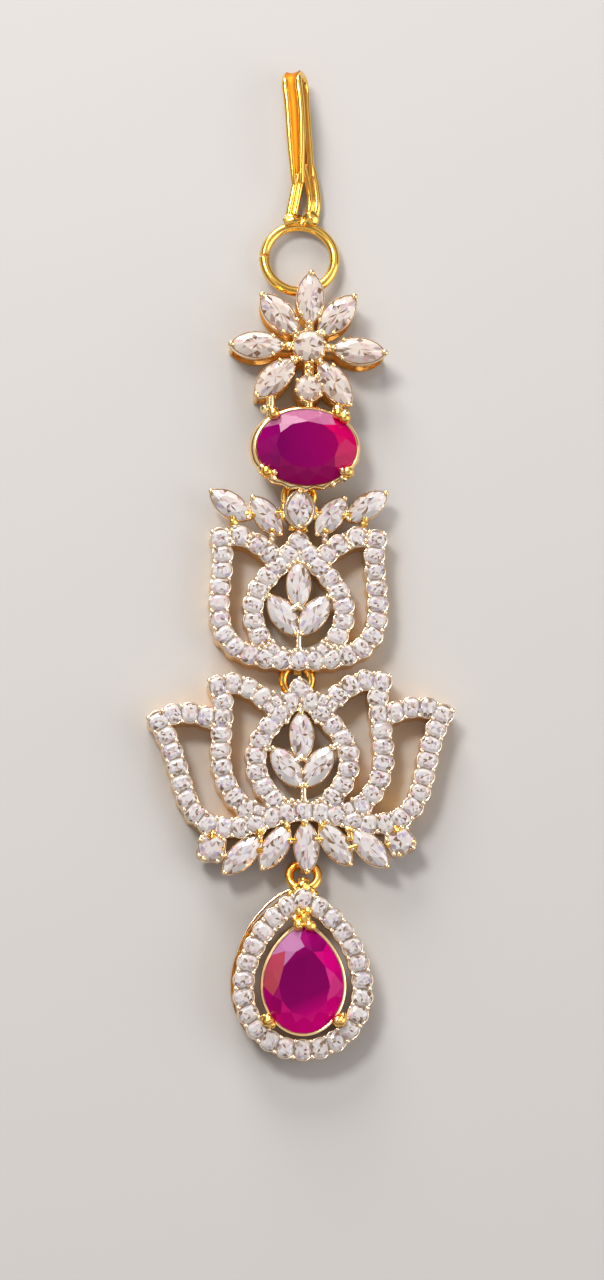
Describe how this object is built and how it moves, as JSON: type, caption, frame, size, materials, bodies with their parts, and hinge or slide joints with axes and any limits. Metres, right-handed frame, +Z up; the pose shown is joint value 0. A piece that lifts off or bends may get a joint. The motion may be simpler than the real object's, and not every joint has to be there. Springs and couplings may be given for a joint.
{
  "type": "maang tikka",
  "caption": "Forehead jewel of gold-plated metal: hair hook and ring, a flower over an oval ruby, an openwork tulip, a lotus and a pear-shaped ruby drop, set with white stones.",
  "frame": {"origin": "On the resting surface, under the middle of the jewel's overall box.", "axes": "+Y along the jewel towards the hair hook, +Z up out of the face of the stones, +X to the right with the hook at the top."},
  "size_m": [0.0282, 0.0932, 0.0045],
  "materials": {
    "gold": "polished yellow gold plating on brass",
    "white_stone": "clear cut stone on a bright seat",
    "ruby": "dark pinkish red cut stone"
  },
  "bodies": {
    "root": {"hook_and_ring": "gold", "top_panel": "gold", "tulip_panel": "gold", "lotus_panel": "gold", "drop_frame": "gold", "jump_ring_1": "gold", "jump_ring_2": "gold", "jump_ring_3": "gold", "petal_stone_top": "white_stone", "petal_stone_upper_left": "white_stone", "petal_stone_left": "white_stone", "petal_stone_lower_left": "white_stone", "petal_stone_lower_right": "white_stone", "petal_stone_right": "white_stone", "petal_stone_upper_right": "white_stone", "centre_stone": "white_stone", "lower_stone": "white_stone", "tulip_pave": "white_stone", "tulip_upright": "white_stone", "tulip_leaf_left": "white_stone", "tulip_leaf_right": "white_stone", "spray_outer_left": "white_stone", "spray_inner_left": "white_stone", "spray_inner_right": "white_stone", "spray_outer_right": "white_stone", "spray_kite": "white_stone", "lotus_pave": "white_stone", "lotus_upright": "white_stone", "lotus_leaf_left": "white_stone", "lotus_leaf_right": "white_stone", "base_middle": "white_stone", "base_left_1": "white_stone", "base_right_1": "white_stone", "base_left_2": "white_stone", "base_right_2": "white_stone", "base_end_left": "white_stone", "base_end_right": "white_stone", "drop_pave": "white_stone", "oval_ruby": "ruby", "pear_ruby": "ruby"}
  },
  "joints": []
}
